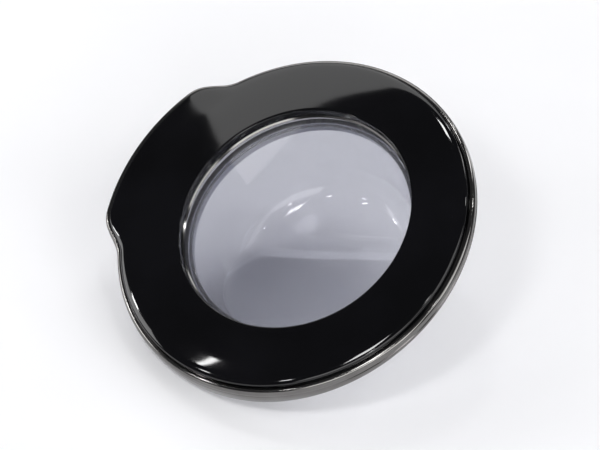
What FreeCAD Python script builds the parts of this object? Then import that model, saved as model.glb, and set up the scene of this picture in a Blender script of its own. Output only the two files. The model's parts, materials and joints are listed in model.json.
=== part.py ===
import FreeCAD, Part
import math
import os
from types import SimpleNamespace

import Sketcher
from FreeCAD import Placement, Rotation, Vector

# Front-loading washing machine door with its hinge and its latch hook.
# Millimetres. The origin is the centre of the hinge bolts on the machine's front panel,
# +Z is up, the door faces -Y, and +X is to the right seen from the front.
# A size that ends in _front is a distance forward of the panel plane, so it lies at -Y.

SIZES = {
    # Front cover: its outer edge, and how far the bolts' centre and the bowl lie inside it
    "cover_edge_radius": 224.5,
    "hinge_inset": 48.5,
    "rim_width": 52.5,
    # Window opening, its axis nearer the hinge than the axis of the outer rings
    "window_margin": 3,
    "window_offset": 6.5,
    "well_wall": 3,
    "well_sink": 0.8,
    "face_start_inset": 10,
    "face_start_front": 53.4,
    "face_slope": 0.01,
    "crest_front": 51.3,
    "crest_inset": 20.5,
    "crest_slope": 0.1,
    "crown_reach": 12,
    "cover_edge_front": 39,
    "cover_edge_wall": 6,
    "cover_edge_round": 4,
    "cover_wall": 3,
    "cover_wall_drop": 2.1,
    # Grip lip, where the rim flares outwards and forwards
    "handle_flare": 20,
    "handle_edge_front": 47,
    "handle_edge_wall": 2.6,
    "handle_edge_round": 1.6,
    "handle_drop": 24.5,
    "handle_half_angle": 21,
    "handle_blend_angle": 17,
    # Chrome ring
    "chrome_width": 8,
    "chrome_flange": 6,
    "chrome_flange_wall": 2.5,
    "chrome_wall": 2.4,
    "chrome_lip": 1.2,
    "bead_drop": 6,
    "crease_depth": 1.2,
    "chrome_skirt": 22,
    "handle_skirt": 12,
    "hinge_relief": 12,
    # Window
    "pane_front": 39.4,
    "pane_wall": 3,
    "pane_overlap": 7,
    "trim_width": 2.2,
    "trim_height": 2.6,
    "trim_edge": 0.8,
    # Carrier ring behind the front cover
    "web_rear_front": 30,
    "web_wall": 3,
    "carrier_inset": 1.5,
    "carrier_rim_wall": 6,
    "carrier_bore_margin": 1.5,
    "carrier_sleeve_wall": 4,
    "rib_wall": 2.4,
    "rib_drop": 0.5,
    "boss_radius": 5,
    "boss_height": 13,
    # Glass bowl
    "bowl_flange_width": 25,
    "bowl_flange_wall": 6,
    "bowl_taper": 20,
    "bowl_depth": 95,
    "bowl_wall": 5,
    "bowl_end_fillet": 45,
    "facet_start": 2.5,
    "facet_rise": 0.566,
    "facet_fillet": 22,
    "gasket_wall": 2,
    "gasket_width": 14,
    # Rear ring
    "rear_front": 9,
    "rear_wall": 3,
    "rear_taper": 18,
    "rear_bore_gap": 2,
    "cavity_gap": 1.5,
    "hinge_block_angle": 16,
    "screw_inset": 9,
    "screw_radius": 1.9,
    "screw_head_radius": 4,
    "screw_head_height": 2.4,
    "screw_length": 30,
    # Cross for the driver in every screw's head
    "drive_length": 3.6,
    "drive_width": 0.9,
    "drive_depth": 1.2,
    # Hinge
    "pin_x": -36,
    "pin_front": 18,
    "pin_radius": 3,
    "pin_head_radius": 4.5,
    "plate_wide": 38,
    "plate_tall": 72,
    "plate_wall": 3,
    "bolt_spacing_x": 22,
    "bolt_spacing_z": 48,
    "bolt_hole_radius": 2.75,
    "lug_inner": 10,
    "lug_wall": 7,
    "lug_radius": 6,
    "lug_root": 11,
    "knuckle_gap": 1,
    "knuckle_wall": 8,
    "knuckle_radius": 6.5,
    "bush_wall": 1.45,
    "bush_collar": 0.7,
    "bush_collar_radius": 6,
    "leaf_wide": 32,
    "leaf_tall": 68,
    "leaf_wall": 3,
    "leaf_overhang": 8,
    "leaf_screw_radius": 1.7,
    "leaf_screw_head_radius": 3,
    "leaf_screw_head_height": 2.2,
    "leaf_screw_length": 11,
    "pocket_margin": 4,
    # Latch
    "latch_inset": 12,
    "latch_front": 20,
    "hook_half_wide": 4,
    "hook_half_thick": 4,
    "hook_boss_radius": 5.5,
    "hook_reach": 44,
    "hook_nose": 7,
    "hook_nose_length": 11,
    "hook_pin_radius": 2.5,
    "hook_slot_half_wide": 8,
    "hook_slot_margin": 1.5,
    "housing_wall": 2.5,
    "housing_half_wide": 9.5,
    "housing_half_tall": 21,
    "cheek_inner": 8.2,
    "cheek_half_wide": 6,
    "cheek_reach": 6,
    "latch_screw_z": 16.5,
    "latch_screw_radius": 1.45,
    "latch_screw_head_radius": 2.8,
    "latch_screw_head_height": 2,
    "spring_coil_radius": 4.8,
    "spring_wire_radius": 0.5,
    "spring_turns": 1.75,
    "spring_start": 4.8,
    "spring_tang": 2.4,
    "tang_hole_radius": 1.6,
    "hook_travel": 12,
    # Buffers on the rear ring
    "buffer_inset": 13,
    "buffer_radius": 6,
    "buffer_height": 8,
    "buffer_stem_radius": 2.9,
    "buffer_stem": 5,
    # Clearances
    "seat_gap": 0.1,
    "running_gap": 0.05,
}

FRAME_SCREWS = 8
RIBS = 24
FIRST_SCREW_ANGLE = 360 / FRAME_SCREWS / 2
BUFFER_ANGLES = (45, 135, 270)
HANDLE_SECTIONS = 36
STEADY_ANGLE = 8
CUT_PAST = 5

doc = FreeCAD.newDocument("washing_machine_door")
sheet = doc.addObject("Spreadsheet::Sheet", "Sizes")
for row, (name, value) in enumerate(SIZES.items(), start=1):
    sheet.set("A%d" % row, name)
    sheet.set("B%d" % row, str(value))
    sheet.setAlias("B%d" % row, name)
doc.recompute()


class Size:
    """A dimension: its value now and the expression that ties it to the sheet."""

    def __init__(self, value, text):
        self.value = value
        self.text = text

    def __add__(self, other):
        other = as_size(other)
        return Size(self.value + other.value, "(%s + %s)" % (self.text, other.text))

    def __sub__(self, other):
        other = as_size(other)
        return Size(self.value - other.value, "(%s - %s)" % (self.text, other.text))

    def __mul__(self, other):
        other = as_size(other)
        return Size(self.value * other.value, "(%s * %s)" % (self.text, other.text))

    def __truediv__(self, other):
        other = as_size(other)
        return Size(self.value / other.value, "(%s / %s)" % (self.text, other.text))

    def __neg__(self):
        return Size(-self.value, "(0 - %s)" % self.text)


def as_size(number):
    """A plain number as a size."""
    if isinstance(number, Size):
        return number
    return Size(number, repr(number))


# The sizes as values that bind to the sheet, and the radii that follow from the cover's edge
d = SimpleNamespace(**{name: Size(float(sheet.get(name)), "Sizes." + name) for name in SIZES})
d.ring_axis_x = d.cover_edge_radius - d.hinge_inset
d.handle_edge_radius = d.cover_edge_radius + d.handle_flare
d.carrier_radius = d.cover_edge_radius - d.carrier_inset
d.rear_radius = d.carrier_radius - d.rear_taper
d.screw_circle = d.rear_radius - d.screw_inset
d.latch_radius = d.rear_radius - d.latch_inset
d.buffer_circle = d.rear_radius - d.buffer_inset
d.cavity_radius = d.latch_radius - d.housing_half_wide - d.cavity_gap
d.bowl_flange_radius = d.cover_edge_radius - d.rim_width
d.bowl_neck_radius = d.bowl_flange_radius - d.bowl_flange_width
d.bowl_end_radius = d.bowl_neck_radius - d.bowl_taper
d.rear_bore = d.bowl_neck_radius + d.rear_bore_gap
d.window_radius = d.bowl_neck_radius + d.window_margin
d.face_start_radius = d.window_radius - d.face_start_inset
d.pane_radius = d.window_radius + d.pane_overlap
d.carrier_bore = d.window_radius + d.carrier_bore_margin
# The same as plain millimetres, for free-form shapes
mm = SimpleNamespace(**{name: size.value for name, size in vars(d).items()})


def new_body(label, axis_x=None):
    """A body whose own Y axis stands at axis_x."""
    body = doc.addObject("PartDesign::Body", label)
    body.Label = label
    if axis_x is not None:
        body.setExpression("Placement.Base.x", axis_x.text)
    return body


def new_sketch(body, name, plane, lift=None):
    """A sketch on one of the body's own planes, lifted along the plane's normal."""
    sketch = body.newObject("Sketcher::SketchObject", name)
    support = [part for part in body.Origin.OriginFeatures if part.Role == plane][0]
    sketch.AttachmentSupport = [(support, "")]
    sketch.MapMode = "FlatFace"
    if lift is not None:
        sketch.AttachmentOffset = Placement(Vector(0, 0, lift.value), Rotation())
        sketch.setExpression("AttachmentOffset.Base.z", lift.text)
    return sketch


def hold_point(sketch, geometry, point, place):
    """Tie a point of the sketch to its distances from the origin."""
    for kind, axis, distance in zip(("DistanceX", "DistanceY"), (-2, -1), place):
        distance = as_size(distance)
        if distance.text == "0":
            sketch.addConstraint(Sketcher.Constraint("PointOnObject", geometry, point, axis))
            continue
        rule = Sketcher.Constraint(kind, -1, 1, geometry, point, distance.value)
        index = sketch.addConstraint(rule)
        sketch.setExpression("Constraints[%d]" % index, distance.text)


def draw_polygon(sketch, points):
    """A closed outline of straight runs."""
    corners = [Vector(as_size(x).value, as_size(y).value, 0) for x, y in points]
    first = sketch.GeometryCount
    count = len(points)
    for here, there in zip(corners, corners[1:] + corners[:1]):
        sketch.addGeometry(Part.LineSegment(here, there), False)
    for step in range(count):
        following = first + (step + 1) % count
        sketch.addConstraint(Sketcher.Constraint("Coincident", first + step, 2, following, 1))
    for step, place in enumerate(points):
        hold_point(sketch, first + step, 1, place)


def draw_rectangle(sketch, left, right, low, high):
    """A rectangle from its four sides."""
    draw_polygon(sketch, [(left, low), (right, low), (right, high), (left, high)])


def draw_circle(sketch, centre, radius):
    """A circle held at its centre."""
    middle = Vector(as_size(centre[0]).value, as_size(centre[1]).value, 0)
    index = sketch.addGeometry(Part.Circle(middle, Vector(0, 0, 1), radius.value), False)
    hold_point(sketch, index, 3, centre)
    rule = sketch.addConstraint(Sketcher.Constraint("Radius", index, radius.value))
    sketch.setExpression("Constraints[%d]" % rule, radius.text)


def pad(body, sketch, length, midplane=False):
    """Material along the sketch's normal."""
    feature = body.newObject("PartDesign::Pad", sketch.Name + "_pad")
    feature.Profile = sketch
    feature.Midplane = midplane
    feature.setExpression("Length", as_size(length).text)
    doc.recompute()
    return feature


def check_removed(body, before):
    """A cut has to take material away."""
    doc.recompute()
    if not body.Shape.Volume < before:
        raise RuntimeError("a cut in %s removed nothing" % body.Label)


def pocket(body, sketch, depth, midplane=False):
    """A cut against the sketch's normal."""
    before = body.Shape.Volume
    feature = body.newObject("PartDesign::Pocket", sketch.Name + "_pocket")
    feature.Profile = sketch
    feature.Midplane = midplane
    feature.setExpression("Length", as_size(depth).text)
    check_removed(body, before)
    return feature


def turn(body, sketch, angle=360):
    """A solid turned about the body's Y axis, centred on the sketch's plane."""
    feature = body.newObject("PartDesign::Revolution", sketch.Name + "_turn")
    feature.Profile = sketch
    feature.ReferenceAxis = (sketch, ["V_Axis"])
    feature.Midplane = True
    feature.setExpression("Angle", as_size(angle).text)
    doc.recompute()
    return feature


def groove(body, sketch, angle):
    """A turned cut about the body's Y axis, centred on the sketch's plane."""
    before = body.Shape.Volume
    feature = body.newObject("PartDesign::Groove", sketch.Name + "_groove")
    feature.Profile = sketch
    feature.ReferenceAxis = (sketch, ["V_Axis"])
    feature.Midplane = True
    feature.setExpression("Angle", as_size(angle).text)
    check_removed(body, before)
    return feature


def around(body, feature, count):
    """Equal copies of a feature about the body's Y axis."""
    axis = [part for part in body.Origin.OriginFeatures if part.Role == "Y_Axis"][0]
    pattern = body.newObject("PartDesign::PolarPattern", feature.Name + "_around")
    pattern.Originals = [feature]
    pattern.Axis = (axis, [""])
    pattern.Angle = 360
    pattern.Occurrences = count
    body.Tip = pattern
    doc.recompute()
    return pattern


def turned_body(label, axis_x, points, angle=360):
    """A body turned from one outline of radius and Y."""
    body = new_body(label, axis_x)
    sketch = new_sketch(body, label + "_section", "XY_Plane")
    draw_polygon(sketch, points)
    turn(body, sketch, angle)
    return body


def on_circle(radius, angle):
    """A point of the front view on a circle about the body's axis."""
    turn_angle = math.radians(angle)
    return radius * math.cos(turn_angle), radius * math.sin(turn_angle)


def new_shape(label, shape, place=Vector(), rotation=Rotation()):
    """A free-form sub-part, placed after its shape is set."""
    feature = doc.addObject("Part::Feature", label)
    feature.Label = label
    feature.Shape = shape
    feature.Placement = Placement(place, rotation)
    return feature


RING_CENTRE = Vector(mm.ring_axis_x, 0, 0)

# Rim sections: the front cover and the chrome ring share one edge line, which leaves the
# plain circle at the grip lip and returns to it in a smooth valley on each side

def mix(plain, handle, share):
    """Between the plain rim and the grip lip."""
    return plain + (handle - plain) * share


def handle_share(angle):
    """How far the rim has become the grip lip, from 0 to 1."""
    past = (abs(angle + mm.handle_drop) - mm.handle_half_angle) / mm.handle_blend_angle
    past = min(1, max(0, past))
    return 1 - past ** 3 * (10 - 15 * past + 6 * past * past)


def at(radius, front, angle):
    """A point on the radial plane at this angle of the front view."""
    turn_angle = math.radians(angle)
    return Vector(radius * math.cos(turn_angle), -front, radius * math.sin(turn_angle))


def bezier(poles, angle):
    """A curve on the radial plane at this angle."""
    curve = Part.BezierCurve()
    curve.setPoles([at(radius, front, angle) for radius, front in poles])
    return curve.toShape()


def straight(start, end, angle):
    """A straight edge on the radial plane at this angle."""
    return Part.makeLine(at(*start, angle), at(*end, angle))


def rim_edge(angle):
    """Radius and front of the front cover's outer edge."""
    share = handle_share(angle)
    radius = mix(mm.cover_edge_radius, mm.handle_edge_radius, share)
    front = mix(mm.cover_edge_front, mm.handle_edge_front, share)
    return radius, front


def cover_skin(angle, inset, drop):
    """Poles of the gently domed face and of its rounded shoulder, down to the edge wall."""
    edge_radius, edge_front = rim_edge(angle)
    share = handle_share(angle)
    wall = mix(mm.cover_edge_wall, mm.handle_edge_wall, share)
    round_over = mix(mm.cover_edge_round, mm.handle_edge_round, share)
    crest = (mm.cover_edge_radius - mm.crest_inset, mm.crest_front - inset)
    start = (mm.face_start_radius, mm.face_start_front - inset)
    corner = (edge_radius - inset, edge_front + wall - drop)
    third = (crest[0] - start[0]) / 3
    face = [start, (start[0] + third, start[1] - third * mm.face_slope),
            (crest[0] - third, crest[1] + third * mm.crest_slope), crest]
    crown = [crest, (crest[0] + mm.crown_reach, crest[1] - mm.crown_reach * mm.crest_slope),
             (corner[0], corner[1] + round_over), corner]
    return face, crown


def cover_section(angle):
    """Closed section of the front cover on one radial plane."""
    edge_radius, edge_front = rim_edge(angle)
    face, crown = cover_skin(angle, 0, 0)
    inner_face, inner_crown = cover_skin(angle, mm.cover_wall, mm.cover_wall_drop)
    edge = (edge_radius, edge_front)
    inner_edge = (edge_radius - mm.cover_wall, edge_front)
    return Part.Wire([
        bezier(face, angle),
        bezier(crown, angle),
        straight(crown[-1], edge, angle),
        straight(edge, inner_edge, angle),
        straight(inner_edge, inner_crown[-1], angle),
        bezier(inner_crown[::-1], angle),
        bezier(inner_face[::-1], angle),
        straight(inner_face[0], face[0], angle),
    ])


def chrome_section(angle):
    """Closed section of the chrome ring: flange, bead, crease and side wall."""
    edge_radius, edge_front = rim_edge(angle)
    seat = edge_front - mm.seat_gap * handle_share(angle)
    outside = edge_radius + mm.chrome_width
    inside = outside - mm.chrome_wall
    skirt = edge_front - mix(mm.chrome_skirt, mm.handle_skirt, handle_share(angle))
    bead_foot = edge_front - mm.bead_drop
    crease = mm.crease_depth
    lip = (edge_radius + mm.seat_gap, edge_front + mm.chrome_lip)
    bead = [lip, (edge_radius + mm.chrome_width / 2, edge_front + 3 * mm.chrome_lip),
            (outside, edge_front + mm.chrome_lip), (outside, bead_foot)]
    corners = [
        (outside, bead_foot),
        (outside - crease, bead_foot - crease),
        (outside, bead_foot - 2 * crease),
        (outside, skirt),
        (inside, skirt),
        (inside, seat - mm.chrome_flange_wall),
        (edge_radius - mm.chrome_flange, seat - mm.chrome_flange_wall),
        (edge_radius - mm.chrome_flange, seat),
        (edge_radius + mm.seat_gap, seat),
        lip,
    ]
    edges = [bezier(bead, angle)]
    edges += [straight(here, there, angle) for here, there in zip(corners, corners[1:])]
    return Part.Wire(edges)


def rim_solid(section):
    """A full ring: a loft through the grip lip, and the plain rim turned round the rest."""
    reach = mm.handle_half_angle + mm.handle_blend_angle + STEADY_ANGLE
    start = -mm.handle_drop - reach
    step = 2 * reach / (HANDLE_SECTIONS - 1)
    sections = [section(start + step * index) for index in range(HANDLE_SECTIONS)]
    lip = Part.makeLoft(sections, True, False)
    plain = Part.Face(sections[-1]).revolve(Vector(), Vector(0, -1, 0), 360 - 2 * reach)
    return lip.fuse(plain)


def upright_cylinder(radius, x, rear, front):
    """A cylinder along the door's axis, between two distances forward of the panel."""
    return Part.makeCylinder(radius, front - rear, Vector(x, -rear, 0), Vector(0, -1, 0))


def make_front_cover():
    """Black domed annulus with the grip lip, and a collar from its window down to the pane."""
    opening = upright_cylinder(mm.window_radius, -mm.window_offset, 0, 2 * mm.crest_front)
    collar = upright_cylinder(mm.window_radius + mm.well_wall, -mm.window_offset,
                              mm.pane_front + 3 * mm.seat_gap, mm.crest_front - mm.well_sink)
    dome = rim_solid(cover_section).fuse(collar)
    return new_shape("front_cover", dome.cut(opening), RING_CENTRE)


def make_chrome_ring():
    """Chrome ring, its side wall relieved on the hinge half so that the door can swing."""
    rear = -(mm.cover_edge_front - mm.chrome_skirt)
    outside = mm.handle_edge_radius + mm.chrome_width
    hinge_edge = mm.cover_edge_radius + mm.chrome_width
    slope = mm.hinge_relief / hinge_edge
    wedge = [Vector(0, rear, -outside), Vector(-outside, rear - outside * slope, -outside),
             Vector(-outside, rear + CUT_PAST, -outside), Vector(0, rear + CUT_PAST, -outside)]
    relief = Part.Face(Part.makePolygon(wedge + wedge[:1])).extrude(Vector(0, 0, 2 * outside))
    return new_shape("chrome_ring", rim_solid(chrome_section).cut(relief), RING_CENTRE)


# Window, carrier ring and bowl

WINDOW_AXIS = d.ring_axis_x - d.window_offset


def make_window_trim():
    """Bright chamfered line in the window opening, seated on the pane."""
    outer = d.window_radius - d.seat_gap
    inner = outer - d.trim_width
    return turned_body("window_trim", WINDOW_AXIS, [
        (inner, -d.pane_front),
        (outer, -d.pane_front),
        (outer, -d.pane_front - d.trim_height),
        (outer - d.trim_edge / 2, -d.pane_front - d.trim_height),
        (inner, -d.pane_front - d.trim_edge),
    ])


def make_window_pane():
    """Clear flat pane behind the opening."""
    return turned_body("window_pane", WINDOW_AXIS, [
        (0, -d.pane_front),
        (d.pane_radius, -d.pane_front),
        (d.pane_radius, -d.pane_front + d.pane_wall),
        (0, -d.pane_front + d.pane_wall),
    ])


def leaf_screw_places():
    """Front-view places of the hinge leaf's screws, from the bolt centre."""
    inner_x = d.pin_x - d.leaf_overhang + d.leaf_wide - d.leaf_screw_head_radius * 2
    outer_x = d.pin_x
    high = d.leaf_tall / 2 - d.leaf_screw_head_radius - 1
    return [(x, flip(high, side)) for x in (inner_x, outer_x) for side in (1, -1)]


def flip(size, side):
    """A size on the upper or the lower side."""
    return size if side > 0 else -size


def make_carrier_frame():
    """Ribbed ring that seats the pane, the chrome ring, the bowl and the hinge leaf."""
    body = new_body("carrier_frame", d.ring_axis_x)
    rim_top = d.cover_edge_front - d.chrome_flange_wall
    web_front = d.web_rear_front + d.web_wall
    rim_inner = d.carrier_radius - d.carrier_rim_wall
    section = new_sketch(body, "carrier_section", "XY_Plane")
    draw_polygon(section, [
        (d.face_start_radius, -d.web_rear_front),
        (d.carrier_radius, -d.web_rear_front),
        (d.carrier_radius, -rim_top),
        (rim_inner, -rim_top),
        (rim_inner, -web_front),
        (d.face_start_radius, -web_front),
    ])
    turn(body, section)
    centre = (-d.window_offset, 0)
    sleeve = new_sketch(body, "carrier_sleeve", "XZ_Plane", d.web_rear_front)
    draw_circle(sleeve, centre, d.carrier_bore + d.carrier_sleeve_wall)
    pane_seat = d.pane_front - d.pane_wall - d.web_rear_front
    pad(body, sleeve, pane_seat)
    rib = new_sketch(body, "carrier_rib", "XZ_Plane", d.web_rear_front)
    rib_start = d.carrier_bore + d.window_offset + 1
    draw_rectangle(rib, rib_start, rim_inner + 1, -d.rib_wall / 2, d.rib_wall / 2)
    around(body, pad(body, rib, rim_top - d.web_rear_front - d.rib_drop), RIBS)
    boss = new_sketch(body, "carrier_boss", "XZ_Plane", d.web_rear_front)
    draw_circle(boss, on_circle(d.screw_circle, FIRST_SCREW_ANGLE), d.boss_radius)
    around(body, pad(body, boss, d.web_wall + d.boss_height), FRAME_SCREWS)
    leaf_bosses = new_sketch(body, "carrier_leaf_bosses", "XZ_Plane", d.web_rear_front)
    for x, z in leaf_screw_places():
        draw_circle(leaf_bosses, (x - d.ring_axis_x, z), d.leaf_screw_radius * 2)
    pad(body, leaf_bosses, d.leaf_screw_length)
    bore = new_sketch(body, "carrier_bore", "XZ_Plane", d.pane_front)
    draw_circle(bore, centre, d.carrier_bore)
    pocket(body, bore, d.pane_front)
    hole = new_sketch(body, "carrier_screw_hole", "XZ_Plane", d.web_rear_front + d.boss_height)
    draw_circle(hole, on_circle(d.screw_circle, FIRST_SCREW_ANGLE), d.screw_radius + d.running_gap)
    around(body, pocket(body, hole, d.boss_height), FRAME_SCREWS)
    leaf_top = d.web_rear_front + d.leaf_screw_length - 1
    leaf_holes = new_sketch(body, "carrier_leaf_holes", "XZ_Plane", leaf_top)
    for x, z in leaf_screw_places():
        draw_circle(leaf_holes, (x - d.ring_axis_x, z), d.leaf_screw_radius + d.running_gap)
    pocket(body, leaf_holes, d.leaf_screw_length - 1)
    return body


def make_handle_grip():
    """Liner on the back of the grip lip, from the carrier's rim out to the chrome flange."""
    rim_top = d.cover_edge_front - d.chrome_flange_wall
    lip_back = d.handle_edge_front - d.seat_gap * 2 - d.chrome_flange_wall
    body = turned_body("handle_grip", d.ring_axis_x, [
        (d.carrier_radius - d.carrier_rim_wall, -rim_top),
        (d.carrier_radius, -rim_top),
        (d.handle_edge_radius, -lip_back),
        (d.handle_edge_radius - d.chrome_flange, -lip_back),
    ], d.handle_half_angle * 2 - 2)
    body.Placement.Rotation = Rotation(Vector(0, 1, 0), mm.handle_drop)
    body.setExpression("Placement.Rotation.Angle", d.handle_drop.text)
    return body


def facet_edges(feature, slope):
    """Names of the edges round the slanted facet."""
    length = math.hypot(1, slope)
    normal = Vector(0, 1 / length, slope / length)
    for face in feature.Shape.Faces:
        flat = isinstance(face.Surface, Part.Plane)
        if flat and abs(face.normalAt(0, 0).dot(normal)) > 1 - 1e-6:
            names = enumerate(feature.Shape.Edges, start=1)
            return ["Edge%d" % index for index, edge in names
                    if any(edge.isSame(side) for side in face.Edges)]
    raise RuntimeError("the bowl has no facet")


def end_edges(feature, end):
    """Names of the edges round the bowl's flat end."""
    names = enumerate(feature.Shape.Edges, start=1)
    return ["Edge%d" % index for index, edge in names
            if abs(edge.BoundBox.YMin - end) < 1e-4 and abs(edge.BoundBox.YMax - end) < 1e-4
            and edge.Length > 1]


def round_edges(body, feature, edges, radius):
    """Fillet the named edges of a feature."""
    fillet = body.newObject("PartDesign::Fillet", feature.Name + "_round")
    fillet.Base = (feature, edges)
    fillet.setExpression("Radius", radius.text)
    doc.recompute()
    return fillet


def bowl_form(name, points, end, facet_start, end_fillet, facet_fillet):
    """A deep round form with a slanted facet across its upper side."""
    body = new_body(name, WINDOW_AXIS)
    section = new_sketch(body, name + "_section", "XY_Plane")
    draw_polygon(section, points)
    formed = turn(body, section)
    formed = round_edges(body, formed, end_edges(formed, end.value), end_fillet)
    cut = new_sketch(body, name + "_facet", "YZ_Plane")
    top = d.bowl_flange_radius + CUT_PAST
    deep = end + CUT_PAST
    top_y = facet_start - (top - d.bowl_neck_radius) * d.facet_rise
    low_z = d.bowl_neck_radius - (deep - facet_start) / d.facet_rise
    draw_polygon(cut, [(top_y, top), (deep, low_z), (deep, top)])
    formed = pocket(body, cut, d.bowl_flange_radius * 3, midplane=True)
    round_edges(body, formed, facet_edges(formed, mm.facet_rise), facet_fillet)
    return body


def make_glass_bowl():
    """Pressed glass bowl: a flange, a tapered wall, a rounded end and a slanted facet."""
    flange_front = d.web_rear_front - d.gasket_wall
    flange_rear = flange_front - d.bowl_flange_wall
    end = d.bowl_depth
    outside = bowl_form("bowl_outside", [
        (0, -flange_front),
        (d.bowl_flange_radius, -flange_front),
        (d.bowl_flange_radius, -flange_rear),
        (d.bowl_neck_radius, -flange_rear),
        (d.bowl_end_radius, end),
        (0, end),
    ], end, -d.facet_start, d.bowl_end_fillet, d.facet_fillet)
    inside_end = d.bowl_depth - d.bowl_wall
    facet_shift = d.bowl_wall * math.hypot(1, mm.facet_rise)
    inside = bowl_form("bowl_inside", [
        (0, -flange_front - CUT_PAST),
        (d.bowl_neck_radius - d.bowl_wall, -flange_front - CUT_PAST),
        (d.bowl_neck_radius - d.bowl_wall, -flange_rear),
        (d.bowl_end_radius - d.bowl_wall, inside_end),
        (0, inside_end),
    ], inside_end, -d.facet_start - facet_shift, d.bowl_end_fillet - d.bowl_wall,
        d.facet_fillet - d.bowl_wall)
    bowl = doc.addObject("Part::Cut", "glass_bowl")
    bowl.Label = "glass_bowl"
    bowl.Base = outside
    bowl.Tool = inside
    doc.recompute()
    return bowl


def make_bowl_gasket():
    """Flat rubber ring between the carrier's web and the bowl's flange."""
    outer = d.bowl_flange_radius - 2
    return turned_body("bowl_gasket", WINDOW_AXIS, [
        (outer - d.gasket_width, -d.web_rear_front),
        (outer, -d.web_rear_front),
        (outer, -d.web_rear_front + d.gasket_wall),
        (outer - d.gasket_width, -d.web_rear_front + d.gasket_wall),
    ])


# Rear ring

def latch_x():
    """The latch hook's pivot, from the ring axis."""
    return d.latch_radius


def make_rear_frame():
    """Rear ring: clamps the bowl's flange, holds the latch and makes room for the hinge."""
    body = new_body("rear_frame", d.ring_axis_x)
    depth = d.web_rear_front - d.rear_front
    lean = (d.carrier_radius - d.rear_radius) / depth
    lean_value = (mm.carrier_radius - mm.rear_radius) / (mm.web_rear_front - mm.rear_front)
    cone_wall = d.rear_wall * math.hypot(1, lean_value)
    plate_front = d.rear_front + d.rear_wall
    section = new_sketch(body, "rear_section", "XY_Plane")
    draw_polygon(section, [
        (d.face_start_radius, -d.rear_front),
        (d.rear_radius, -d.rear_front),
        (d.carrier_radius, -d.web_rear_front),
        (d.face_start_radius, -d.web_rear_front),
    ])
    turn(body, section)
    cavity = new_sketch(body, "rear_cavity", "XY_Plane")
    draw_polygon(cavity, [
        (d.cavity_radius, -plate_front),
        (d.rear_radius + lean * d.rear_wall - cone_wall, -plate_front),
        (d.carrier_radius - cone_wall, -d.web_rear_front),
        (d.cavity_radius, -d.web_rear_front),
    ])
    groove(body, cavity, d.hinge_block_angle * -2 + 360)
    boss = new_sketch(body, "rear_boss", "XZ_Plane", d.rear_front)
    place = on_circle(d.screw_circle, FIRST_SCREW_ANGLE)
    draw_circle(boss, place, d.boss_radius)
    around(body, pad(body, boss, depth), FRAME_SCREWS)
    centre = (-d.window_offset, 0)
    flange_seat = d.web_rear_front - d.gasket_wall - d.bowl_flange_wall
    seat = new_sketch(body, "rear_flange_seat", "XZ_Plane", d.web_rear_front)
    draw_circle(seat, centre, d.bowl_flange_radius + d.seat_gap * 3)
    pocket(body, seat, d.web_rear_front - flange_seat)
    bore = new_sketch(body, "rear_bore", "XZ_Plane", d.web_rear_front)
    draw_circle(bore, centre, d.rear_bore)
    pocket(body, bore, depth)
    hinge = new_sketch(body, "rear_hinge_pocket", "XZ_Plane", d.web_rear_front)
    pocket_tall = d.leaf_tall / 2 + d.pocket_margin
    pocket_inner = d.pin_x - d.leaf_overhang + d.leaf_wide + d.seat_gap * 30 - d.ring_axis_x
    draw_rectangle(hinge, -d.carrier_radius - CUT_PAST, pocket_inner, -pocket_tall, pocket_tall)
    pocket(body, hinge, depth)
    hole = new_sketch(body, "rear_screw_hole", "XZ_Plane", d.web_rear_front)
    draw_circle(hole, place, d.screw_radius + d.seat_gap * 3)
    around(body, pocket(body, hole, depth), FRAME_SCREWS)
    recess = new_sketch(body, "rear_screw_recess", "XZ_Plane", plate_front)
    draw_circle(recess, place, d.screw_head_radius + d.seat_gap * 3)
    around(body, pocket(body, recess, d.rear_wall), FRAME_SCREWS)
    slots = new_sketch(body, "rear_slots", "XZ_Plane", plate_front)
    half_slot = d.hook_half_thick + d.hook_slot_margin
    draw_rectangle(slots, latch_x() - d.hook_slot_half_wide, latch_x() + d.hook_slot_half_wide,
                   -half_slot, half_slot)
    for side in (1, -1):
        draw_circle(slots, (latch_x(), flip(d.latch_screw_z, side)),
                    d.latch_screw_radius + d.running_gap)
    for angle in BUFFER_ANGLES:
        draw_circle(slots, on_circle(d.buffer_circle, angle),
                    d.buffer_stem_radius + d.running_gap)
    pocket(body, slots, d.rear_wall)
    return body


def cross_recess(top):
    """Cross for the driver, sunk from the top of a screw's head."""
    bars = [Part.makeBox(x, mm.drive_depth, z, Vector(-x / 2, top - mm.drive_depth, -z / 2))
            for x, z in ((mm.drive_length, mm.drive_width), (mm.drive_width, mm.drive_length))]
    return bars[0].fuse(bars[1])


def screw_solid(shaft_radius, head_radius, head_height, length):
    """A pan head screw along +Y from the seat of its head, the shaft towards -Y."""
    head = Part.makeCylinder(head_radius, head_height, Vector(), Vector(0, 1, 0))
    rounded = head.makeFillet(head_height / 3, [head.Edges[0]])
    shaft = Part.makeCylinder(shaft_radius, length, Vector(), Vector(0, -1, 0))
    return rounded.fuse(shaft).cut(cross_recess(head_height)).removeSplitter()


def placed_group(label, solid, places, centre=Vector()):
    """Separate copies of one solid."""
    copies = []
    for place in places:
        copy = solid.copy()
        copy.Placement = place
        copies.append(copy)
    return new_shape(label, Part.makeCompound(copies), centre)


def make_frame_screws():
    """Screws that hold the rear ring to the carrier, heads sunk in the rear ring."""
    screw = screw_solid(mm.screw_radius, mm.screw_head_radius, mm.screw_head_height,
                        mm.screw_length)
    seat = mm.rear_front + mm.rear_wall
    places = []
    for index in range(FRAME_SCREWS):
        x, z = on_circle(mm.screw_circle, FIRST_SCREW_ANGLE + 360 / FRAME_SCREWS * index)
        places.append(Placement(Vector(x, -seat, z), Rotation()))
    return placed_group("frame_screws", screw, places, RING_CENTRE)


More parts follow.
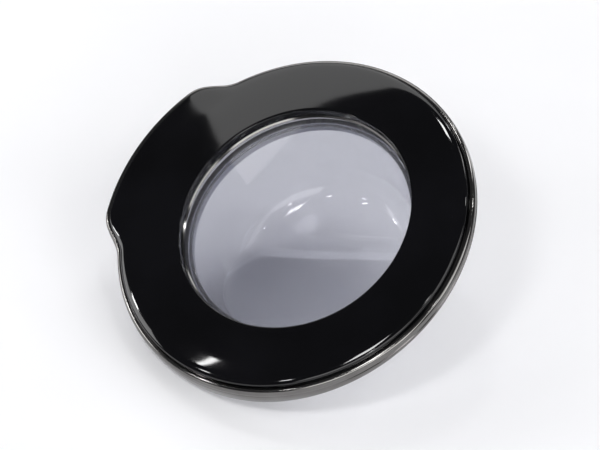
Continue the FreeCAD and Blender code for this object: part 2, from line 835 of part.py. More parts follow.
def make_door_buffers():
    """Rubber buffers pushed into the rear ring, where the closed door meets the panel."""
    foot = Part.makeCylinder(mm.buffer_radius, mm.buffer_height, Vector(), Vector(0, 1, 0))
    foot = foot.makeFillet(mm.buffer_height / 4, [foot.Edges[0]])
    stem = Part.makeCylinder(mm.buffer_stem_radius, mm.buffer_stem, Vector(), Vector(0, -1, 0))
    buffer = foot.fuse(stem).removeSplitter()
    places = []
    for angle in BUFFER_ANGLES:
        x, z = on_circle(mm.buffer_circle, angle)
        places.append(Placement(Vector(x, -mm.rear_front, z), Rotation()))
    return placed_group("door_buffers", buffer, places, RING_CENTRE)


# Hinge

def lug_starts(inner, wall):
    """Lower faces of an upper and a lower slab that mirror each other about Z = 0."""
    return (inner, -inner - wall)


def make_hinge_bracket():
    """Fixed hinge half: a bolted plate with two lugs that crank out to the pin."""
    body = new_body("hinge_bracket")
    plate = new_sketch(body, "bracket_plate", "XZ_Plane")
    half_wide = d.plate_wide / 2
    half_tall = d.plate_tall / 2
    draw_rectangle(plate, -half_wide, half_wide, -half_tall, half_tall)
    for side_x in (1, -1):
        for side_z in (1, -1):
            place = (flip(d.bolt_spacing_x / 2, side_x), flip(d.bolt_spacing_z / 2, side_z))
            draw_circle(plate, place, d.bolt_hole_radius)
    pad(body, plate, d.plate_wall)
    across = d.lug_radius * 0.8
    along = d.lug_radius * 0.6
    for number, start in enumerate(lug_starts(d.lug_inner, d.lug_wall)):
        neck = new_sketch(body, "bracket_neck_%d" % number, "XY_Plane", start)
        draw_polygon(neck, [
            (-half_wide, 0),
            (-half_wide + d.lug_root, 0),
            (-half_wide + d.lug_root, -d.plate_wall - 1),
            (d.pin_x + along, -d.pin_front - across),
            (d.pin_x - along, -d.pin_front + across),
        ])
        pad(body, neck, d.lug_wall)
        boss = new_sketch(body, "bracket_boss_%d" % number, "XY_Plane", start)
        draw_circle(boss, (d.pin_x, -d.pin_front), d.lug_radius)
        pad(body, boss, d.lug_wall)
    hole = new_sketch(body, "bracket_pin_hole", "XY_Plane")
    draw_circle(hole, (d.pin_x, -d.pin_front), d.pin_radius)
    pocket(body, hole, d.plate_tall, midplane=True)
    return body


def knuckle_start():
    """Height where the leaf's knuckles start, above the lugs."""
    return d.lug_inner + d.lug_wall + d.knuckle_gap


def make_hinge_leaf():
    """Door half of the hinge: a plate on the carrier with two knuckles round the pin."""
    body = new_body("hinge_leaf")
    rear = d.web_rear_front - d.leaf_wall
    left = d.pin_x - d.leaf_overhang
    plate = new_sketch(body, "leaf_plate", "XZ_Plane", rear)
    draw_rectangle(plate, left, left + d.leaf_wide, -d.leaf_tall / 2, d.leaf_tall / 2)
    for x, z in leaf_screw_places():
        draw_circle(plate, (x, z), d.leaf_screw_radius + d.running_gap)
    pad(body, plate, d.leaf_wall)
    for number, start in enumerate(lug_starts(knuckle_start(), d.knuckle_wall)):
        arm = new_sketch(body, "leaf_arm_%d" % number, "XY_Plane", start)
        draw_rectangle(arm, d.pin_x - d.knuckle_radius, d.pin_x + d.knuckle_radius,
                       -d.web_rear_front, -d.pin_front)
        pad(body, arm, d.knuckle_wall)
        round_end = new_sketch(body, "leaf_round_%d" % number, "XY_Plane", start)
        draw_circle(round_end, (d.pin_x, -d.pin_front), d.knuckle_radius)
        pad(body, round_end, d.knuckle_wall)
    bore = new_sketch(body, "leaf_bore", "XY_Plane")
    draw_circle(bore, (d.pin_x, -d.pin_front), d.pin_radius + d.running_gap + d.bush_wall)
    pocket(body, bore, d.leaf_tall, midplane=True)
    return body


def make_hinge_bush(label, side):
    """Collared bush pressed into one knuckle, running on the pin."""
    inner = mm.pin_radius + mm.running_gap
    start = mm.lug_inner + mm.lug_wall + mm.knuckle_gap
    up = Vector(0, 0, side)
    foot = Vector(mm.pin_x, -mm.pin_front, side * start)
    below = Vector(mm.pin_x, -mm.pin_front, side * (start - mm.bush_collar))
    tube = Part.makeCylinder(inner + mm.bush_wall, mm.knuckle_wall, foot, up)
    collar = Part.makeCylinder(mm.bush_collar_radius, mm.bush_collar, below, up)
    bore = Part.makeCylinder(inner, mm.knuckle_wall + mm.bush_collar, below, up)
    return new_shape(label, tube.fuse(collar).cut(bore).removeSplitter())


def make_hinge_pin():
    """Headed pin through both lugs and both knuckles."""
    top = mm.lug_inner + mm.lug_wall + mm.knuckle_gap + mm.knuckle_wall + mm.seat_gap * 3
    foot = Vector(mm.pin_x, -mm.pin_front, -top)
    shaft = Part.makeCylinder(mm.pin_radius, 2 * top, foot)
    head = Part.makeCylinder(mm.pin_head_radius, mm.pin_radius / 2,
                             Vector(mm.pin_x, -mm.pin_front, top))
    return new_shape("hinge_pin", shaft.fuse(head).removeSplitter())


def make_leaf_screws():
    """Screws through the hinge leaf into the carrier."""
    screw = screw_solid(mm.leaf_screw_radius, mm.leaf_screw_head_radius,
                        mm.leaf_screw_head_height, mm.leaf_screw_length)
    seat = mm.web_rear_front - mm.leaf_wall
    places = [Placement(Vector(x.value, -seat, z.value), Rotation())
              for x, z in leaf_screw_places()]
    return placed_group("leaf_screws", screw, places)


# Latch

def make_latch_housing():
    """Base plate on the rear ring with two cheeks for the hook's pin."""
    body = new_body("latch_housing", d.ring_axis_x)
    base_rear = d.rear_front + d.rear_wall
    half_slot = d.hook_half_thick + d.hook_slot_margin
    base = new_sketch(body, "housing_base", "XZ_Plane", base_rear)
    draw_rectangle(base, latch_x() - d.housing_half_wide, latch_x() + d.housing_half_wide,
                   -d.housing_half_tall, d.housing_half_tall)
    draw_rectangle(base, latch_x() - d.hook_slot_half_wide, latch_x() + d.hook_slot_half_wide,
                   -half_slot, half_slot)
    for side in (1, -1):
        draw_circle(base, (latch_x(), flip(d.latch_screw_z, side)),
                    d.latch_screw_radius + d.running_gap)
    pad(body, base, d.housing_wall)
    for number, start in enumerate(lug_starts(d.cheek_inner, d.housing_wall)):
        cheek = new_sketch(body, "housing_cheek_%d" % number, "XY_Plane", start)
        draw_rectangle(cheek, latch_x() - d.cheek_half_wide, latch_x() + d.cheek_half_wide,
                       -d.latch_front - d.cheek_reach, -base_rear)
        pad(body, cheek, d.housing_wall)
    hole = new_sketch(body, "housing_pin_hole", "XY_Plane")
    draw_circle(hole, (latch_x(), -d.latch_front), d.hook_pin_radius)
    pocket(body, hole, d.housing_half_tall * 2, midplane=True)
    return body


def make_latch_hook():
    """Hook that rocks on its pin, its nose pointing outwards behind the panel."""
    body = new_body("latch_hook", d.ring_axis_x)
    half = d.hook_half_thick
    start = -half
    tip = -d.latch_front + d.hook_reach
    nose_start = tip - d.hook_nose_length
    lever = new_sketch(body, "hook_lever", "XY_Plane", start)
    draw_polygon(lever, [
        (latch_x() - d.hook_half_wide, -d.latch_front),
        (latch_x() + d.hook_half_wide, -d.latch_front),
        (latch_x() + d.hook_half_wide, nose_start),
        (latch_x() + d.hook_half_wide + d.hook_nose, nose_start + 1),
        (latch_x() + d.hook_half_wide + d.hook_nose, nose_start + 3),
        (latch_x() + d.hook_half_wide / 2, tip),
        (latch_x() - d.hook_half_wide, tip),
    ])
    pad(body, lever, half * 2)
    boss = new_sketch(body, "hook_boss", "XY_Plane", start)
    draw_circle(boss, (latch_x(), -d.latch_front), d.hook_boss_radius)
    pad(body, boss, half * 2)
    bore = new_sketch(body, "hook_bore", "XY_Plane")
    draw_circle(bore, (latch_x(), -d.latch_front), d.hook_pin_radius + d.running_gap)
    pocket(body, bore, half * 3, midplane=True)
    tang = new_sketch(body, "hook_tang_hole", "XY_Plane", half)
    middle = math.radians(mm.hook_travel / 2)
    draw_circle(tang, (latch_x() + d.spring_coil_radius * math.sin(middle),
                       -d.latch_front + d.spring_coil_radius * math.cos(middle)),
                d.tang_hole_radius)
    pocket(body, tang, half)
    return body


def make_hook_pin():
    """Pin across both cheeks, upset at its ends."""
    half = mm.cheek_inner + mm.housing_wall
    x = mm.ring_axis_x + mm.latch_radius
    shaft = Part.makeCylinder(mm.hook_pin_radius, 2 * half, Vector(x, -mm.latch_front, -half))
    end_height = mm.hook_pin_radius / 2
    ends = [Part.makeCylinder(mm.hook_pin_radius * 1.4, end_height,
                              Vector(x, -mm.latch_front, height))
            for height in (half, -half - end_height)]
    return new_shape("hook_pin", shaft.fuse(ends).removeSplitter())


def make_hook_spring():
    """Torsion spring: a coil round the pin, a tang into the hook and a leg on the housing."""
    wire = mm.spring_wire_radius
    coil_radius = mm.spring_coil_radius
    pitch = 2 * wire + mm.seat_gap
    rise = pitch * mm.spring_turns
    helix = Part.makeHelix(pitch, rise, coil_radius)
    circle = Part.Circle(Vector(coil_radius, 0, 0), Vector(0, 1, 0), wire)
    coil = Part.Wire(helix).makePipeShell([Part.Wire(circle.toShape())], True, True)
    tang = Part.makeCylinder(wire, mm.spring_start - mm.spring_tang,
                             Vector(coil_radius, 0, mm.spring_tang - mm.spring_start))
    leg_x, leg_y = on_circle(coil_radius, 360 * mm.spring_turns)
    leg_start = Vector(leg_x, leg_y, rise)
    leg_length = mm.latch_front - mm.rear_front - mm.rear_wall - mm.housing_wall
    leg = Part.makeCylinder(wire, leg_length, leg_start, Vector(-leg_y, leg_x, 0))
    bends = [Part.makeSphere(wire, Vector(coil_radius, 0, 0)), Part.makeSphere(wire, leg_start)]
    centre = Vector(mm.ring_axis_x + mm.latch_radius, -mm.latch_front, mm.spring_start)
    return new_shape("hook_spring", coil.fuse([tang, leg] + bends), centre,
                     Rotation(Vector(0, 0, 1), 90))


def make_latch_screws():
    """Screws through the latch housing into the rear ring."""
    base_front = mm.rear_front + mm.rear_wall + mm.housing_wall
    length = base_front - mm.rear_front - mm.seat_gap
    screw = screw_solid(mm.latch_screw_radius, mm.latch_screw_head_radius,
                        mm.latch_screw_head_height, length)
    half_turn = Rotation(Vector(0, 0, 1), 180)
    places = [Placement(Vector(mm.latch_radius, -base_front, z), half_turn)
              for z in (mm.latch_screw_z, -mm.latch_screw_z)]
    return placed_group("latch_screws", screw, places, RING_CENTRE)


def make_door():
    """Every sub-part of the door, its hinge and its latch."""
    return [
        make_front_cover(),
        make_chrome_ring(),
        make_window_trim(),
        make_window_pane(),
        make_carrier_frame(),
        make_handle_grip(),
        make_glass_bowl(),
        make_bowl_gasket(),
        make_rear_frame(),
        make_frame_screws(),
        make_door_buffers(),
        make_hinge_bracket(),
        make_hinge_leaf(),
        make_hinge_bush("hinge_bush_upper", 1),
        make_hinge_bush("hinge_bush_lower", -1),
        make_hinge_pin(),
        make_leaf_screws(),
        make_latch_housing(),
        make_latch_hook(),
        make_hook_pin(),
        make_hook_spring(),
        make_latch_screws(),
    ]


def check_all(pieces):
    """Stop if any object failed or any sub-part is empty or broken."""
    for part in doc.Objects:
        if "Invalid" in part.State or "Error" in part.State:
            raise RuntimeError("%s failed: %s" % (part.Label, part.State))
    for piece in pieces:
        if piece.Shape.isNull() or not piece.Shape.isValid() or not piece.Shape.Solids:
            raise RuntimeError("%s has no sound solid" % piece.Label)


door = make_door()
doc.recompute()
check_all(door)
os.makedirs("parts", exist_ok=True)
for piece in door:
    piece.Shape.exportStep("parts/%s.step" % piece.Label)
    print(piece.Label, len(piece.Shape.Solids), "solids", round(piece.Shape.Volume, 1), "mm3")
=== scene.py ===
import json
import math

import bmesh
import bpy
from mathutils import Matrix, Vector

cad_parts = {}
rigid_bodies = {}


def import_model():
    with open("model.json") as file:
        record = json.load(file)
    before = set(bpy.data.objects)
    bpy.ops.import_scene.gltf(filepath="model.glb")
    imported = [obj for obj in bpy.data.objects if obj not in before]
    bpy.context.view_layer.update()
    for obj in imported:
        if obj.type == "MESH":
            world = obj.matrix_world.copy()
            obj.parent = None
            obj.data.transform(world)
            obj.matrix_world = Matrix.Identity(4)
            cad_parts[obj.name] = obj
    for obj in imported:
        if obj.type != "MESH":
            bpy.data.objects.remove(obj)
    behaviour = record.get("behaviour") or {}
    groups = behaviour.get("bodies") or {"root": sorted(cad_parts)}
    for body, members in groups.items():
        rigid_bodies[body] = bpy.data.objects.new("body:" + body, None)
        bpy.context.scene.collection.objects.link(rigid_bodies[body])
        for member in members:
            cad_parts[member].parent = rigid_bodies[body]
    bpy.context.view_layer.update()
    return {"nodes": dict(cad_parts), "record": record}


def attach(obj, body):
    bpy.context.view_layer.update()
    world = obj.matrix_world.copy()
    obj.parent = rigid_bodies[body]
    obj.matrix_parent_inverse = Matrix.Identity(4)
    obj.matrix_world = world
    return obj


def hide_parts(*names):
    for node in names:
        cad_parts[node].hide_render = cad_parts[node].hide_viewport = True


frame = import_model()

# Sizes in millimetres and angles in degrees, in the part's own frame: +Z up, the door faces -Y,
# and "front" is the distance along -Y. They repeat the solids' sizes, so that each smooth piece
# lies where its solid is.
MM = 0.001
RING_X = 176.0
WINDOW_OFFSET = 6.5
WINDOW_RADIUS = 150.0
WELL_WALL = 3.0
WELL_FOOT = 39.7
WELL_LIP = 1.5
FACE_START = (140.0, 53.4)
FACE_SLOPE = 0.01
CREST_FRONT = 51.3
CREST_INSET = 20.5
CREST_SLOPE = 0.1
CROWN_REACH = 12.0
EDGE_RADIUS = 224.5
EDGE_FRONT = 39.0
EDGE_WALL = 6.0
EDGE_ROUND = 4.0
COVER_WALL = 3.0
COVER_WALL_DROP = 2.1
HANDLE_RADIUS = 244.5
HANDLE_FRONT = 47.0
HANDLE_WALL = 2.6
HANDLE_ROUND = 1.6
HANDLE_DROP = 24.5
HANDLE_HALF = 21.0
HANDLE_BLEND = 17.0
CHROME_WIDTH = 8.0
CHROME_FLANGE = 6.0
CHROME_FLANGE_WALL = 2.5
CHROME_WALL = 2.4
CHROME_LIP = 1.2
BEAD_DROP = 6.0
CREASE = 1.2
SKIRT = 22.0
HANDLE_SKIRT = 12.0
HINGE_RELIEF = 12.0
SEAT_GAP = 0.1
BOWL_FLANGE = 172.0
BOWL_NECK = 147.0
BOWL_END = 127.0
BOWL_DEPTH = 95.0
BOWL_WALL = 5.0
BOWL_FLANGE_FRONT = 28.0
BOWL_FLANGE_REAR = 22.0
BOWL_FILLET = 45.0
FACET_START = 2.5
FACET_RISE = 0.566
FACET_BLEND = 14.0

# Small rounds on the corners of the sections
COVER_FOOT_ROUND = 0.4
CREASE_ROUND = 0.35
SHOULDER_ROUND = 0.5
SKIRT_ROUND = 0.6
MOUTH_ROUND = 1.5
FLANGE_ROUND = 1.2

# How finely the smooth pieces are drawn: points along each curve, steps round the rim, rows and
# turns of the bowl, and the angle from which an edge is shaded sharp
ROUND_POINTS = 3
WELL_LIP_POINTS = 5
FLANGE_POINTS = 4
FACE_POINTS = 14
CROWN_POINTS = 20
BEAD_POINTS = 14
PLAIN_STEP = 1.5
FINE_STEP = 0.75
FINE_MARGIN = 3.0
BOWL_POINTS = 26
BOWL_END_ROWS = 12
BOWL_TURNS = 240
COVER_SHARP = 35
CHROME_SHARP = 30
BOWL_SHARP = 40

# A shift that puts the bowl's facet out of the flange's reach
NO_FACET = -1000.0

# Photograph's camera: the picture plane's tilt, and the window trim's centre seen from the camera
PICTURE_NORMAL = Vector((-0.32, 0.468, math.sqrt(1 - 0.32 ** 2 - 0.468 ** 2)))
LIP_IN_PICTURE = Vector((-4.5, 5.3, -3065.5))
LIP_FRONT = 42.0
LENS_MM = 150.0
SENSOR_MM = 36
CAMERA_REACH = 100

# Stage, in metres: the floor, the room and the lamps. Lamps are placed from the window's centre,
# to the right, up and away over the floor, with their size and their power in watts.
FLOOR_ELEVATION = 41.0
FLOOR_GLOW = 0.05
FLOOR_HALF = 30.0
FLOOR_GAP = 0.0005
ROOM_COLOUR = (0.93, 0.94, 1.0, 1)
ROOM_STRENGTH = 0.08
PANEL_TURN = math.radians(25)
LAMPS = {
    # The black face mirrors this panel as the grey zone at its top
    "overhead": dict(place=(-0.18, 1.3, 1.94), size=(2.6, 2.0), power=31, back=(0, 1, 0),
                     along=(math.cos(PANEL_TURN), 0, math.sin(PANEL_TURN))),
    # Soft boxes for the floor and the chrome
    "fill": dict(place=(1.7, 1.3, -0.9), size=(1.8, 1.6), power=19),
    "low_front": dict(place=(0.2, 0.7, -1.9), size=(2.4, 0.9), power=20),
    "left_side": dict(place=(-2.0, 0.5, 0.3), size=(0.8, 1.0), power=10),
    "right_back": dict(place=(1.6, 0.8, 1.2), size=(0.3, 1.0), power=5),
    # Small lamps for the glints
    "front": dict(place=(-0.43, 1.36, -0.85), size=(0.3, 0.3), power=5.6),
    "left_strip": dict(place=(-1.13, 1.0, -0.13), size=(0.22, 0.03), power=0.6,
                       along=(-0.55, -0.6, -0.58)),
    "right_spot": dict(place=(0.02, 1.4, 0.63), size=(0.14, 0.12), power=1.4),
}
SPOT_SIZE = (0.09, 0.09)
SPOT_POWER = 0.8
SPOT_PLACES = ((-1.0, 1.1, -0.9), (0.5, 1.4, -0.9), (1.0, 1.2, 0.2), (-1.4, 0.7, 0.2),
               (0.9, 0.9, 1.2), (0.0, 1.0, -1.4), (-1.5, 0.9, -0.5))

# Where a noise pattern has reached a finish's dark tone and its light tone
TINT_ENDS = (0.35, 0.65)


# Curves of the rim

def mix(plain, handle, share):
    """Between the plain rim and the grip lip."""
    return plain + (handle - plain) * share


def from_handle(angle):
    """Degrees from the middle of the grip lip, at this angle of the front view."""
    return abs((angle + HANDLE_DROP + 180) % 360 - 180)


def handle_share(angle):
    """How far the rim has become the grip lip at this angle of the front view."""
    past = min(1, max(0, (from_handle(angle) - HANDLE_HALF) / HANDLE_BLEND))
    return 1 - past ** 3 * (10 - 15 * past + 6 * past * past)


def rim_edge(angle):
    """Radius and front of the cover's outer edge."""
    share = handle_share(angle)
    return mix(EDGE_RADIUS, HANDLE_RADIUS, share), mix(EDGE_FRONT, HANDLE_FRONT, share)


def bezier(poles, count, start=0.0):
    """Points along a cubic curve, from start to its end."""
    points = []
    for step in range(count):
        t = start + (1 - start) * step / (count - 1)
        weights = ((1 - t) ** 3, 3 * t * (1 - t) ** 2, 3 * t * t * (1 - t), t ** 3)
        points.append(tuple(sum(w * pole[axis] for w, pole in zip(weights, poles))
                            for axis in (0, 1)))
    return points


def rounded(corner, before, after, radius, count=ROUND_POINTS):
    """A small round at a corner of a section, between its two neighbours."""
    corner = Vector(corner)
    first = corner + (Vector(before) - corner).normalized() * radius
    last = corner + (Vector(after) - corner).normalized() * radius
    points = []
    for step in range(count):
        t = step / (count - 1)
        points.append(tuple(first * (1 - t) ** 2 + corner * 2 * t * (1 - t) + last * t * t))
    return points


def window_edge(angle, wall=0.0):
    """Distance of the window opening, or of its collar's outside, from the ring axis."""
    across = WINDOW_OFFSET * math.cos(math.radians(angle))
    radius = WINDOW_RADIUS + wall
    return -across + math.sqrt(across ** 2 + radius ** 2 - WINDOW_OFFSET ** 2)


def cover_curves(angle, inset, drop, opening):
    """Points of the face and of the crown, from the opening's radius to the edge wall."""
    edge_radius, edge_front = rim_edge(angle)
    share = handle_share(angle)
    wall = mix(EDGE_WALL, HANDLE_WALL, share)
    round_over = mix(EDGE_ROUND, HANDLE_ROUND, share)
    start = (FACE_START[0], FACE_START[1] - inset)
    crest = (EDGE_RADIUS - CREST_INSET, CREST_FRONT - inset)
    corner = (edge_radius - inset, edge_front + wall - drop)
    third = (crest[0] - start[0]) / 3
    face = [start, (start[0] + third, start[1] - third * FACE_SLOPE),
            (crest[0] - third, crest[1] + third * CREST_SLOPE), crest]
    crown = [crest, (crest[0] + CROWN_REACH, crest[1] - CROWN_REACH * CREST_SLOPE),
             (corner[0], corner[1] + round_over), corner]
    from_start = (opening - start[0]) / (crest[0] - start[0])
    return bezier(face, FACE_POINTS, from_start), bezier(crown, CROWN_POINTS)


def cover_section(angle):
    """Closed section of the front cover: face, crown, edge wall and the window's collar."""
    edge_radius, edge_front = rim_edge(angle)
    opening = window_edge(angle)
    collar = window_edge(angle, WELL_WALL)
    face, crown = cover_curves(angle, 0, 0, opening)
    inner_face, inner_crown = cover_curves(angle, COVER_WALL, COVER_WALL_DROP, collar)
    edge = (edge_radius, edge_front)
    inner_edge = (edge_radius - COVER_WALL, edge_front)
    well_foot = (opening, WELL_FOOT)
    lip = rounded(face[0], well_foot, face[1], WELL_LIP, WELL_LIP_POINTS)
    foot = rounded(edge, crown[-1], inner_edge, COVER_FOOT_ROUND)
    return ([well_foot] + lip + face[1:] + crown[1:] + foot + [inner_edge]
            + inner_crown[::-1] + inner_face[-2::-1] + [(collar, WELL_FOOT)])


def chrome_section(angle):
    """Closed section of the chrome ring: flange, bead, crease and side wall."""
    edge_radius, edge_front = rim_edge(angle)
    share = handle_share(angle)
    seat = edge_front - SEAT_GAP * share
    outside = edge_radius + CHROME_WIDTH
    inside = outside - CHROME_WALL
    skirt = edge_front - mix(SKIRT, HANDLE_SKIRT, share)
    hinge_side = max(0, -outside * math.cos(math.radians(angle)))
    relief = EDGE_FRONT - SKIRT + HINGE_RELIEF * hinge_side / (EDGE_RADIUS + CHROME_WIDTH)
    skirt = max(skirt, relief) if hinge_side else skirt
    bead_foot = edge_front - BEAD_DROP
    lip = (edge_radius + SEAT_GAP, edge_front + CHROME_LIP)
    bead = bezier([lip, (edge_radius + CHROME_WIDTH / 2, edge_front + 3 * CHROME_LIP),
                   (outside, edge_front + CHROME_LIP), (outside, bead_foot)], BEAD_POINTS)
    crease = (outside - CREASE, bead_foot - CREASE)
    below = (outside, bead_foot - 2 * CREASE)
    foot = (outside, skirt)
    inner_foot = (inside, skirt)
    flange_back = seat - CHROME_FLANGE_WALL
    return (bead[:-1]
            + rounded(bead[-1], bead[-2], crease, CREASE_ROUND)
            + rounded(crease, bead[-1], below, CREASE_ROUND)
            + rounded(below, crease, foot, SHOULDER_ROUND)
            + rounded(foot, below, inner_foot, SKIRT_ROUND)
            + rounded(inner_foot, foot, (inside, flange_back), SKIRT_ROUND)
            + [(inside, flange_back), (edge_radius - CHROME_FLANGE, flange_back),
               (edge_radius - CHROME_FLANGE, seat), (edge_radius + SEAT_GAP, seat)])


def section_angles():
    """Angles of the sections, closer together where the rim changes."""
    nearest = HANDLE_HALF - FINE_MARGIN
    farthest = HANDLE_HALF + HANDLE_BLEND + FINE_MARGIN
    angles = []
    angle = -180.0
    while angle < 180:
        angles.append(angle)
        angle += FINE_STEP if nearest < from_handle(angle) < farthest else PLAIN_STEP
    return angles


# Mesh helpers

def mesh_piece(name, points, faces, sharp_degrees):
    """A smooth-shaded piece from points in millimetres, its faces turned outwards."""
    mesh = bpy.data.meshes.new(name)
    mesh.from_pydata([tuple(v * MM for v in point) for point in points], [], faces)
    solid = bmesh.new()
    solid.from_mesh(mesh)
    if solid.calc_volume(signed=True) < 0:
        bmesh.ops.reverse_faces(solid, faces=solid.faces)
        solid.to_mesh(mesh)
    solid.free()
    mesh.shade_smooth()
    mesh.set_sharp_from_angle(angle=math.radians(sharp_degrees))
    mesh.update()
    piece = bpy.data.objects.new(name, mesh)
    bpy.context.collection.objects.link(piece)
    return piece


def ring_piece(name, section, sharp_degrees):
    """A ring swept through closed sections about the ring axis."""
    angles = section_angles()
    points = []
    for angle in angles:
        turn = math.radians(angle)
        for radius, front in section(angle):
            points.append((RING_X + radius * math.cos(turn), -front, radius * math.sin(turn)))
    around = len(points) // len(angles)
    faces = []
    for row in range(len(angles)):
        here = row * around
        there = (row + 1) % len(angles) * around
        for step in range(around):
            following = (step + 1) % around
            faces.append((here + step, here + following, there + following, there + step))
    return mesh_piece(name, points, faces, sharp_degrees)


# Glass bowl, turned about the window axis with its slanted facet

def smooth_least(a, b, blend):
    """The lesser of two depths, with a soft join."""
    share = max(blend - abs(a - b), 0) / blend
    return min(a, b) - share * share * blend / 4


def bowl_profile(neck, end_radius, depth, fillet):
    """Radius and depth from the flange down the wall, round the end and to the axis."""
    lean = (neck - end_radius) / (depth + BOWL_FLANGE_REAR)
    down = Vector((-lean, 1)).normalized()
    turning = math.acos(-down[0])
    tangent = fillet * math.tan(turning / 2)
    weight = math.cos(turning / 2)
    top = Vector((neck, -BOWL_FLANGE_REAR))
    corner = Vector((end_radius, depth))
    wall = corner - down * tangent
    floor = corner - Vector((tangent, 0))
    points = [tuple(top.lerp(wall, step / BOWL_POINTS)) for step in range(BOWL_POINTS)]
    for step in range(BOWL_POINTS + 1):
        t = step / BOWL_POINTS
        a, b, c = (1 - t) ** 2, 2 * t * (1 - t) * weight, t * t
        points.append(tuple((wall * a + corner * b + floor * c) / (a + b + c)))
    points += [(floor[0] * (1 - step / BOWL_END_ROWS), depth)
               for step in range(1, BOWL_END_ROWS + 1)]
    return points


def facet_depth(z, shift):
    """Depth of the slanted facet at this height."""
    return -FACET_START - shift + (BOWL_NECK - z) * FACET_RISE


def bowl_surface(profile, shift):
    """Points of one skin of the bowl, row by row down the profile."""
    rows = []
    for radius, depth in profile:
        row = []
        for step in range(BOWL_TURNS):
            turn = 2 * math.pi * step / BOWL_TURNS
            z = radius * math.sin(turn)
            y = smooth_least(depth, facet_depth(z, shift), FACET_BLEND)
            row.append((RING_X - WINDOW_OFFSET + radius * math.cos(turn), y, z))
        rows.append(row)
    return rows


def bowl_flange():
    """Section of the flange, from the bowl's mouth round its edge to the back."""
    mouth = BOWL_NECK - BOWL_WALL
    front, rear = -BOWL_FLANGE_FRONT, -BOWL_FLANGE_REAR
    edge_front, edge_rear = (BOWL_FLANGE, front), (BOWL_FLANGE, rear)
    return (rounded((mouth, front), (mouth, rear), edge_front, MOUTH_ROUND, FLANGE_POINTS)
            + rounded(edge_front, (mouth, front), edge_rear, FLANGE_ROUND, FLANGE_POINTS)
            + rounded(edge_rear, edge_front, (BOWL_NECK, rear), FLANGE_ROUND, FLANGE_POINTS))


def make_bowl():
    """Clear pressed bowl: inner skin, flange and outer skin in one closed piece."""
    turns = BOWL_TURNS
    shift = BOWL_WALL * math.hypot(1, FACET_RISE)
    inner = bowl_profile(BOWL_NECK - BOWL_WALL, BOWL_END - BOWL_WALL, BOWL_DEPTH - BOWL_WALL,
                         BOWL_FILLET - BOWL_WALL)
    outer = bowl_profile(BOWL_NECK, BOWL_END, BOWL_DEPTH, BOWL_FILLET)
    rows = bowl_surface(inner[:0:-1], shift)
    rows += bowl_surface([inner[0]] + bowl_flange(), NO_FACET)
    rows += bowl_surface(outer, 0)
    points = [point for row in rows[1:-1] for point in row]
    count = len(rows) - 2
    faces = []
    for row in range(count - 1):
        for step in range(turns):
            following = (step + 1) % turns
            faces.append((row * turns + step, (row + 1) * turns + step,
                          (row + 1) * turns + following, row * turns + following))
    for pole, row, flip in ((rows[0][0], 0, False), (rows[-1][0], count - 1, True)):
        middle = len(points)
        points.append(pole)
        for step in range(turns):
            here = row * turns + step
            there = row * turns + (step + 1) % turns
            faces.append((middle, there, here) if flip else (middle, here, there))
    return mesh_piece("glass_bowl_clear", points, faces, BOWL_SHARP)


# Materials

def new_material(name, **values):
    """A material and its shader, which has these values on its own sockets."""
    material = bpy.data.materials.new(name)
    material.use_nodes = True
    shader = material.node_tree.nodes["Principled BSDF"]
    for socket, value in values.items():
        shader.inputs[socket.replace("_", " ")].default_value = value
    return material, shader


def noise(tree, scale, detail):
    """A noise pattern fixed to the piece."""
    place = tree.nodes.new("ShaderNodeTexCoord")
    pattern = tree.nodes.new("ShaderNodeTexNoise")
    pattern.inputs["Scale"].default_value = scale
    pattern.inputs["Detail"].default_value = detail
    tree.links.new(place.outputs["Object"], pattern.inputs["Vector"])
    return pattern.outputs["Fac"]


def vary(tree, pattern, low, high, socket):
    """Drive a socket between two values by a pattern."""
    spread = tree.nodes.new("ShaderNodeMapRange")
    spread.inputs["To Min"].default_value = low
    spread.inputs["To Max"].default_value = high
    tree.links.new(pattern, spread.inputs["Value"])
    tree.links.new(spread.outputs["Result"], socket)


def tint(shader, dark, light, scale, detail=3):
    """Noise in the base colour, between two tones."""
    tree = shader.id_data
    ramp = tree.nodes.new("ShaderNodeValToRGB")
    for end, place, tone in zip(ramp.color_ramp.elements, TINT_ENDS, (dark, light)):
        end.position = place
        end.color = (*tone, 1)
    tree.links.new(noise(tree, scale, detail), ramp.inputs["Fac"])
    tree.links.new(ramp.outputs["Color"], shader.inputs["Base Color"])


def roughen(shader, low, high, scale, detail):
    """Noise in the roughness, between two values."""
    tree = shader.id_data
    vary(tree, noise(tree, scale, detail), low, high, shader.inputs["Roughness"])


def relief(shader, strength, distance, scale, detail):
    """Surface relief from noise."""
    tree = shader.id_data
    bump = tree.nodes.new("ShaderNodeBump")
    bump.inputs["Strength"].default_value = strength
    bump.inputs["Distance"].default_value = distance
    tree.links.new(noise(tree, scale, detail), bump.inputs["Height"])
    tree.links.new(bump.outputs["Normal"], shader.inputs["Normal"])


def gloss_black():
    """Deep black moulded plastic, nearly mirror smooth, with faint wipe marks."""
    material, shader = new_material("gloss_black", IOR=1.46)
    tint(shader, (0.0015, 0.0015, 0.002), (0.003, 0.003, 0.004), scale=9)
    roughen(shader, 0.03, 0.07, scale=30, detail=6)
    relief(shader, strength=0.02, distance=0.0002, scale=700, detail=1)
    return material


def chrome():
    """Bright plating with a slight haze; its colour is darkened to a dark grey band as painted
    shade, standing in for the shaded floor that the plating mirrors.
    """
    material, shader = new_material("chrome_plate", Metallic=1.0)
    # Darkened base colour: painted shade for the shaded floor mirrored in the plating
    tint(shader, (0.165, 0.16, 0.155), (0.205, 0.20, 0.195), scale=22)
    roughen(shader, 0.08, 0.15, scale=60, detail=5)
    return material


def clear_pane():
    """Clear flat pane. Its alpha also thins its gloss, so its index is raised."""
    material, shader = new_material("clear_pane", Base_Color=(0.08, 0.08, 0.1, 1), Alpha=0.1,
                                    IOR=2.6)
    roughen(shader, 0.01, 0.03, scale=14, detail=4)
    return material


